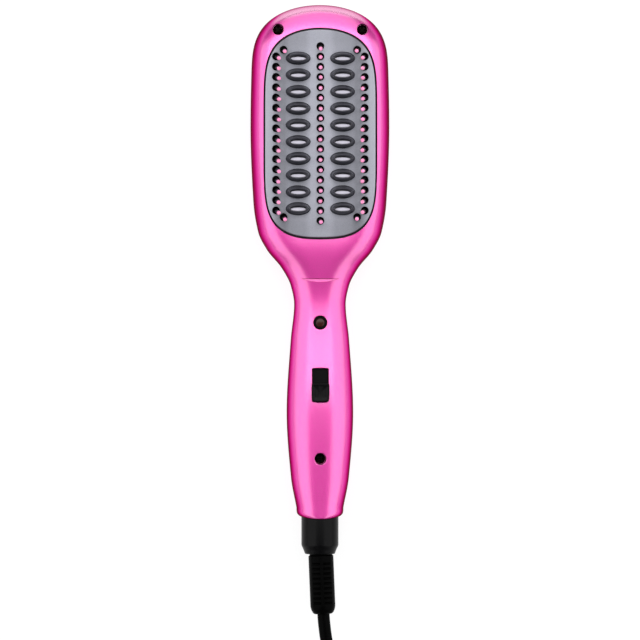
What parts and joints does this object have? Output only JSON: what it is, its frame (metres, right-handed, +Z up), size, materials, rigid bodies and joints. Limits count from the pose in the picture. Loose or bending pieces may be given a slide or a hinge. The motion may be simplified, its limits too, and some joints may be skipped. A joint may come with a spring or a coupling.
{
  "type": "hair straightening brush",
  "caption": "Heated hair straightening brush with a pink two-shell housing, coated plate with oval teeth, nylon bristles, slide switch, swivel cord collar and mains lead.",
  "frame": {"origin": "bottom centre of the brush without its lead, on the surface that the brush lies on", "axes": "+Z up out of the bristles, with the brush on its back; +Y along the brush towards the crown of the head, with the cord at -Y; +X to the right of the head as the bristles are looked at with the crown up"},
  "size_m": [0.0924, 0.5554, 0.0349],
  "materials": {
    "pink_housing": "metallic lacquer, satin gloss",
    "plate_coating": "grey ceramic coating, satin",
    "bristle_pink": "moulded nylon, satin",
    "black_plastic": "moulded, satin",
    "black_rubber": "matte",
    "bare_steel": "plated",
    "dark_steel": "black oxide",
    "brass": "plain",
    "ceramic_white": "matte",
    "mica_sheet": "matte",
    "board_green": "solder mask",
    "smoked_lens": "clear smoked, polished",
    "white_plastic": "moulded",
    "wire_red": "silicone",
    "wire_white": "silicone"
  },
  "bodies": {
    "root": {"front_shell": "pink_housing", "rear_shell": "pink_housing", "heater_plate": "plate_coating", "plate_frame": "black_plastic", "bristle_strip_left": "bristle_pink", "bristle_strip_centre": "bristle_pink", "bristle_strip_right": "bristle_pink", "ptc_heater_left": "ceramic_white", "ptc_heater_right": "ceramic_white", "heater_clamp": "bare_steel", "clamp_screw_1": "bare_steel", "clamp_screw_2": "bare_steel", "clamp_screw_3": "bare_steel", "clamp_screw_4": "bare_steel", "insulation_pad": "mica_sheet", "heat_shield": "bare_steel", "thermal_fuse": "bare_steel", "thermistor": "ceramic_white", "control_board": "board_green", "triac": "black_plastic", "film_capacitor": "black_plastic", "dropper_resistor": "ceramic_white", "terminal_block": "white_plastic", "led_lamp": "smoked_lens", "led_window": "smoked_lens", "slide_switch": "black_plastic", "head_screw_left": "dark_steel", "head_screw_right": "dark_steel", "grip_screw": "dark_steel", "contact_spring_live": "brass", "contact_spring_neutral": "brass", "contact_block_live": "white_plastic", "contact_block_neutral": "white_plastic", "heater_wire_left": "wire_red", "heater_wire_right": "wire_white", "supply_wire_live": "wire_red", "supply_wire_neutral": "wire_white", "mains_lead": "black_rubber", "lead_hank": "black_rubber", "plug_lead": "black_rubber", "hank_tie": "black_rubber", "plug_body": "black_plastic", "plug_blade_left": "brass", "plug_blade_right": "brass"},
    "switch": {"switch_knob": "black_plastic", "switch_lever": "black_plastic"},
    "swivel": {"swivel_collar": "black_plastic", "slip_ring_live": "brass", "slip_ring_neutral": "brass", "strain_relief": "black_rubber"}
  },
  "joints": [
    {"name": "switch_slide", "type": "slide", "parent": "root", "child": "switch", "axis": [0, 1, 0], "range_m": [0, 0.008]},
    {"name": "cord_swivel", "type": "hinge", "parent": "root", "child": "swivel", "pos_m": [0, -0.11662, 0.013], "axis": [0, 1, 0], "continuous": true}
  ]
}
